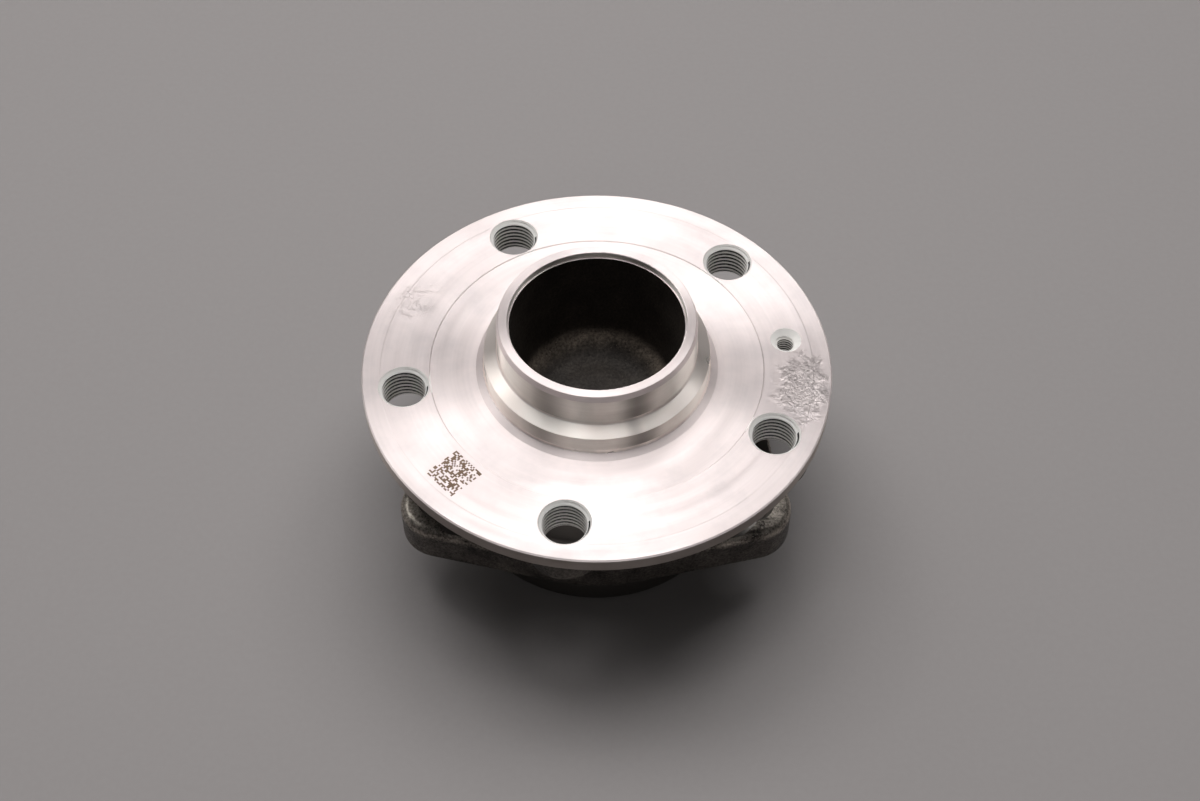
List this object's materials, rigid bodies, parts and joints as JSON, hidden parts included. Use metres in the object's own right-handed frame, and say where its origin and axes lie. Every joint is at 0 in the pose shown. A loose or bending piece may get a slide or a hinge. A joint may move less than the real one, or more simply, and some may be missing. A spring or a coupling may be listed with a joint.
{
  "type": "wheel hub bearing",
  "caption": "Flanged wheel hub unit with a double-row ball bearing: turned wheel flange with pilots and threaded holes, fixed eared outer ring, seal, speed encoder and end cap.",
  "frame": {"origin": "on the wheel axis, at the end face of the knuckle spigot on which the unit stands", "axes": "+Z along the wheel axis towards the wheel, +X and +Y across the mounting plate, along its long and short hole spacings"},
  "size_m": [0.136, 0.136, 0.0801],
  "materials": {
    "turned_steel": "bright turned steel with fine concentric tool marks",
    "forged_steel": "dark shot-blasted forging with machined seats",
    "ground_bearing_steel": "ground",
    "polished_bearing_steel": "lapped and polished",
    "pressed_steel": "cold-rolled stainless strip",
    "drawn_steel": "drawn sheet, satin",
    "cage_polyamide": "moulded glass-filled polyamide",
    "seal_rubber": "moulded nitrile rubber",
    "encoder_rubber": "ferrite-filled rubber"
  },
  "bodies": {
    "fixed_ring": {"outer_ring": "forged_steel", "outboard_seal_case": "pressed_steel", "outboard_seal_lips": "seal_rubber", "end_cap": "drawn_steel", "cap_gasket": "seal_rubber"},
    "hub": {"hub_flange": "turned_steel", "inner_ring": "ground_bearing_steel", "outboard_slinger": "pressed_steel", "encoder_carrier": "pressed_steel", "encoder_ring": "encoder_rubber"},
    "outboard_cage": {"outboard_cage": "cage_polyamide"},
    "outboard_ball_01": {"outboard_ball_01": "polished_bearing_steel"},
    "outboard_ball_02": {"outboard_ball_02": "polished_bearing_steel"},
    "outboard_ball_03": {"outboard_ball_03": "polished_bearing_steel"},
    "outboard_ball_04": {"outboard_ball_04": "polished_bearing_steel"},
    "outboard_ball_05": {"outboard_ball_05": "polished_bearing_steel"},
    "outboard_ball_06": {"outboard_ball_06": "polished_bearing_steel"},
    "outboard_ball_07": {"outboard_ball_07": "polished_bearing_steel"},
    "outboard_ball_08": {"outboard_ball_08": "polished_bearing_steel"},
    "outboard_ball_09": {"outboard_ball_09": "polished_bearing_steel"},
    "outboard_ball_10": {"outboard_ball_10": "polished_bearing_steel"},
    "outboard_ball_11": {"outboard_ball_11": "polished_bearing_steel"},
    "outboard_ball_12": {"outboard_ball_12": "polished_bearing_steel"},
    "outboard_ball_13": {"outboard_ball_13": "polished_bearing_steel"},
    "outboard_ball_14": {"outboard_ball_14": "polished_bearing_steel"},
    "inboard_cage": {"inboard_cage": "cage_polyamide"},
    "inboard_ball_01": {"inboard_ball_01": "polished_bearing_steel"},
    "inboard_ball_02": {"inboard_ball_02": "polished_bearing_steel"},
    "inboard_ball_03": {"inboard_ball_03": "polished_bearing_steel"},
    "inboard_ball_04": {"inboard_ball_04": "polished_bearing_steel"},
    "inboard_ball_05": {"inboard_ball_05": "polished_bearing_steel"},
    "inboard_ball_06": {"inboard_ball_06": "polished_bearing_steel"},
    "inboard_ball_07": {"inboard_ball_07": "polished_bearing_steel"},
    "inboard_ball_08": {"inboard_ball_08": "polished_bearing_steel"},
    "inboard_ball_09": {"inboard_ball_09": "polished_bearing_steel"},
    "inboard_ball_10": {"inboard_ball_10": "polished_bearing_steel"},
    "inboard_ball_11": {"inboard_ball_11": "polished_bearing_steel"},
    "inboard_ball_12": {"inboard_ball_12": "polished_bearing_steel"},
    "inboard_ball_13": {"inboard_ball_13": "polished_bearing_steel"},
    "inboard_ball_14": {"inboard_ball_14": "polished_bearing_steel"}
  },
  "joints": [
    {"name": "hub_spin", "type": "hinge", "parent": "fixed_ring", "child": "hub", "pos_m": [0, 0, 0.0605], "axis": [0, 0, 1], "continuous": true},
    {"name": "outboard_cage_spin", "type": "hinge", "parent": "fixed_ring", "child": "outboard_cage", "pos_m": [0, 0, 0.0335], "axis": [0, 0, 1], "continuous": true},
    {"name": "outboard_ball_01_roll", "type": "hinge", "parent": "outboard_cage", "child": "outboard_ball_01", "pos_m": [0.0305, 0, 0.0335], "axis": [0.5736, 0, 0.8192], "continuous": true},
    {"name": "outboard_ball_02_roll", "type": "hinge", "parent": "outboard_cage", "child": "outboard_ball_02", "pos_m": [0.02748, 0.01323, 0.0335], "axis": [0.5168, 0.2489, 0.8192], "continuous": true},
    {"name": "outboard_ball_03_roll", "type": "hinge", "parent": "outboard_cage", "child": "outboard_ball_03", "pos_m": [0.01902, 0.02385, 0.0335], "axis": [0.3576, 0.4484, 0.8192], "continuous": true},
    {"name": "outboard_ball_04_roll", "type": "hinge", "parent": "outboard_cage", "child": "outboard_ball_04", "pos_m": [0.00679, 0.02974, 0.0335], "axis": [0.1276, 0.5592, 0.8192], "continuous": true},
    {"name": "outboard_ball_05_roll", "type": "hinge", "parent": "outboard_cage", "child": "outboard_ball_05", "pos_m": [-0.00679, 0.02974, 0.0335], "axis": [-0.1276, 0.5592, 0.8192], "continuous": true},
    {"name": "outboard_ball_06_roll", "type": "hinge", "parent": "outboard_cage", "child": "outboard_ball_06", "pos_m": [-0.01902, 0.02385, 0.0335], "axis": [-0.3576, 0.4484, 0.8192], "continuous": true},
    {"name": "outboard_ball_07_roll", "type": "hinge", "parent": "outboard_cage", "child": "outboard_ball_07", "pos_m": [-0.02748, 0.01323, 0.0335], "axis": [-0.5168, 0.2489, 0.8192], "continuous": true},
    {"name": "outboard_ball_08_roll", "type": "hinge", "parent": "outboard_cage", "child": "outboard_ball_08", "pos_m": [-0.0305, 0, 0.0335], "axis": [-0.5736, 0, 0.8192], "continuous": true},
    {"name": "outboard_ball_09_roll", "type": "hinge", "parent": "outboard_cage", "child": "outboard_ball_09", "pos_m": [-0.02748, -0.01323, 0.0335], "axis": [-0.5168, -0.2489, 0.8192], "continuous": true},
    {"name": "outboard_ball_10_roll", "type": "hinge", "parent": "outboard_cage", "child": "outboard_ball_10", "pos_m": [-0.01902, -0.02385, 0.0335], "axis": [-0.3576, -0.4484, 0.8192], "continuous": true},
    {"name": "outboard_ball_11_roll", "type": "hinge", "parent": "outboard_cage", "child": "outboard_ball_11", "pos_m": [-0.00679, -0.02974, 0.0335], "axis": [-0.1276, -0.5592, 0.8192], "continuous": true},
    {"name": "outboard_ball_12_roll", "type": "hinge", "parent": "outboard_cage", "child": "outboard_ball_12", "pos_m": [0.00679, -0.02974, 0.0335], "axis": [0.1276, -0.5592, 0.8192], "continuous": true},
    {"name": "outboard_ball_13_roll", "type": "hinge", "parent": "outboard_cage", "child": "outboard_ball_13", "pos_m": [0.01902, -0.02385, 0.0335], "axis": [0.3576, -0.4484, 0.8192], "continuous": true},
    {"name": "outboard_ball_14_roll", "type": "hinge", "parent": "outboard_cage", "child": "outboard_ball_14", "pos_m": [0.02748, -0.01323, 0.0335], "axis": [0.5168, -0.2489, 0.8192], "continuous": true},
    {"name": "inboard_cage_spin", "type": "hinge", "parent": "fixed_ring", "child": "inboard_cage", "pos_m": [0, 0, 0.0145], "axis": [0, 0, 1], "continuous": true},
    {"name": "inboard_ball_01_roll", "type": "hinge", "parent": "inboard_cage", "child": "inboard_ball_01", "pos_m": [0.0305, 0, 0.0145], "axis": [-0.5736, 0, 0.8192], "continuous": true},
    {"name": "inboard_ball_02_roll", "type": "hinge", "parent": "inboard_cage", "child": "inboard_ball_02", "pos_m": [0.02748, 0.01323, 0.0145], "axis": [-0.5168, -0.2489, 0.8192], "continuous": true},
    {"name": "inboard_ball_03_roll", "type": "hinge", "parent": "inboard_cage", "child": "inboard_ball_03", "pos_m": [0.01902, 0.02385, 0.0145], "axis": [-0.3576, -0.4484, 0.8192], "continuous": true},
    {"name": "inboard_ball_04_roll", "type": "hinge", "parent": "inboard_cage", "child": "inboard_ball_04", "pos_m": [0.00679, 0.02974, 0.0145], "axis": [-0.1276, -0.5592, 0.8192], "continuous": true},
    {"name": "inboard_ball_05_roll", "type": "hinge", "parent": "inboard_cage", "child": "inboard_ball_05", "pos_m": [-0.00679, 0.02974, 0.0145], "axis": [0.1276, -0.5592, 0.8192], "continuous": true},
    {"name": "inboard_ball_06_roll", "type": "hinge", "parent": "inboard_cage", "child": "inboard_ball_06", "pos_m": [-0.01902, 0.02385, 0.0145], "axis": [0.3576, -0.4484, 0.8192], "continuous": true},
    {"name": "inboard_ball_07_roll", "type": "hinge", "parent": "inboard_cage", "child": "inboard_ball_07", "pos_m": [-0.02748, 0.01323, 0.0145], "axis": [0.5168, -0.2489, 0.8192], "continuous": true},
    {"name": "inboard_ball_08_roll", "type": "hinge", "parent": "inboard_cage", "child": "inboard_ball_08", "pos_m": [-0.0305, 0, 0.0145], "axis": [0.5736, 0, 0.8192], "continuous": true},
    {"name": "inboard_ball_09_roll", "type": "hinge", "parent": "inboard_cage", "child": "inboard_ball_09", "pos_m": [-0.02748, -0.01323, 0.0145], "axis": [0.5168, 0.2489, 0.8192], "continuous": true},
    {"name": "inboard_ball_10_roll", "type": "hinge", "parent": "inboard_cage", "child": "inboard_ball_10", "pos_m": [-0.01902, -0.02385, 0.0145], "axis": [0.3576, 0.4484, 0.8192], "continuous": true},
    {"name": "inboard_ball_11_roll", "type": "hinge", "parent": "inboard_cage", "child": "inboard_ball_11", "pos_m": [-0.00679, -0.02974, 0.0145], "axis": [0.1276, 0.5592, 0.8192], "continuous": true},
    {"name": "inboard_ball_12_roll", "type": "hinge", "parent": "inboard_cage", "child": "inboard_ball_12", "pos_m": [0.00679, -0.02974, 0.0145], "axis": [-0.1276, 0.5592, 0.8192], "continuous": true},
    {"name": "inboard_ball_13_roll", "type": "hinge", "parent": "inboard_cage", "child": "inboard_ball_13", "pos_m": [0.01902, -0.02385, 0.0145], "axis": [-0.3576, 0.4484, 0.8192], "continuous": true},
    {"name": "inboard_ball_14_roll", "type": "hinge", "parent": "inboard_cage", "child": "inboard_ball_14", "pos_m": [0.02748, -0.01323, 0.0145], "axis": [-0.5168, 0.2489, 0.8192], "continuous": true}
  ],
  "couplings": [
    {"joint": "outboard_cage_spin", "follows": "hub_spin", "ratio": 0.42006},
    {"joint": "outboard_ball_01_roll", "follows": "hub_spin", "ratio": -2.4962},
    {"joint": "outboard_ball_02_roll", "follows": "hub_spin", "ratio": -2.4962},
    {"joint": "outboard_ball_03_roll", "follows": "hub_spin", "ratio": -2.4962},
    {"joint": "outboard_ball_04_roll", "follows": "hub_spin", "ratio": -2.4962},
    {"joint": "outboard_ball_05_roll", "follows": "hub_spin", "ratio": -2.4962},
    {"joint": "outboard_ball_06_roll", "follows": "hub_spin", "ratio": -2.4962},
    {"joint": "outboard_ball_07_roll", "follows": "hub_spin", "ratio": -2.4962},
    {"joint": "outboard_ball_08_roll", "follows": "hub_spin", "ratio": -2.4962},
    {"joint": "outboard_ball_09_roll", "follows": "hub_spin", "ratio": -2.4962},
    {"joint": "outboard_ball_10_roll", "follows": "hub_spin", "ratio": -2.4962},
    {"joint": "outboard_ball_11_roll", "follows": "hub_spin", "ratio": -2.4962},
    {"joint": "outboard_ball_12_roll", "follows": "hub_spin", "ratio": -2.4962},
    {"joint": "outboard_ball_13_roll", "follows": "hub_spin", "ratio": -2.4962},
    {"joint": "outboard_ball_14_roll", "follows": "hub_spin", "ratio": -2.4962},
    {"joint": "inboard_cage_spin", "follows": "hub_spin", "ratio": 0.42006},
    {"joint": "inboard_ball_01_roll", "follows": "hub_spin", "ratio": -2.4962},
    {"joint": "inboard_ball_02_roll", "follows": "hub_spin", "ratio": -2.4962},
    {"joint": "inboard_ball_03_roll", "follows": "hub_spin", "ratio": -2.4962},
    {"joint": "inboard_ball_04_roll", "follows": "hub_spin", "ratio": -2.4962},
    {"joint": "inboard_ball_05_roll", "follows": "hub_spin", "ratio": -2.4962},
    {"joint": "inboard_ball_06_roll", "follows": "hub_spin", "ratio": -2.4962},
    {"joint": "inboard_ball_07_roll", "follows": "hub_spin", "ratio": -2.4962},
    {"joint": "inboard_ball_08_roll", "follows": "hub_spin", "ratio": -2.4962},
    {"joint": "inboard_ball_09_roll", "follows": "hub_spin", "ratio": -2.4962},
    {"joint": "inboard_ball_10_roll", "follows": "hub_spin", "ratio": -2.4962},
    {"joint": "inboard_ball_11_roll", "follows": "hub_spin", "ratio": -2.4962},
    {"joint": "inboard_ball_12_roll", "follows": "hub_spin", "ratio": -2.4962},
    {"joint": "inboard_ball_13_roll", "follows": "hub_spin", "ratio": -2.4962},
    {"joint": "inboard_ball_14_roll", "follows": "hub_spin", "ratio": -2.4962}
  ]
}
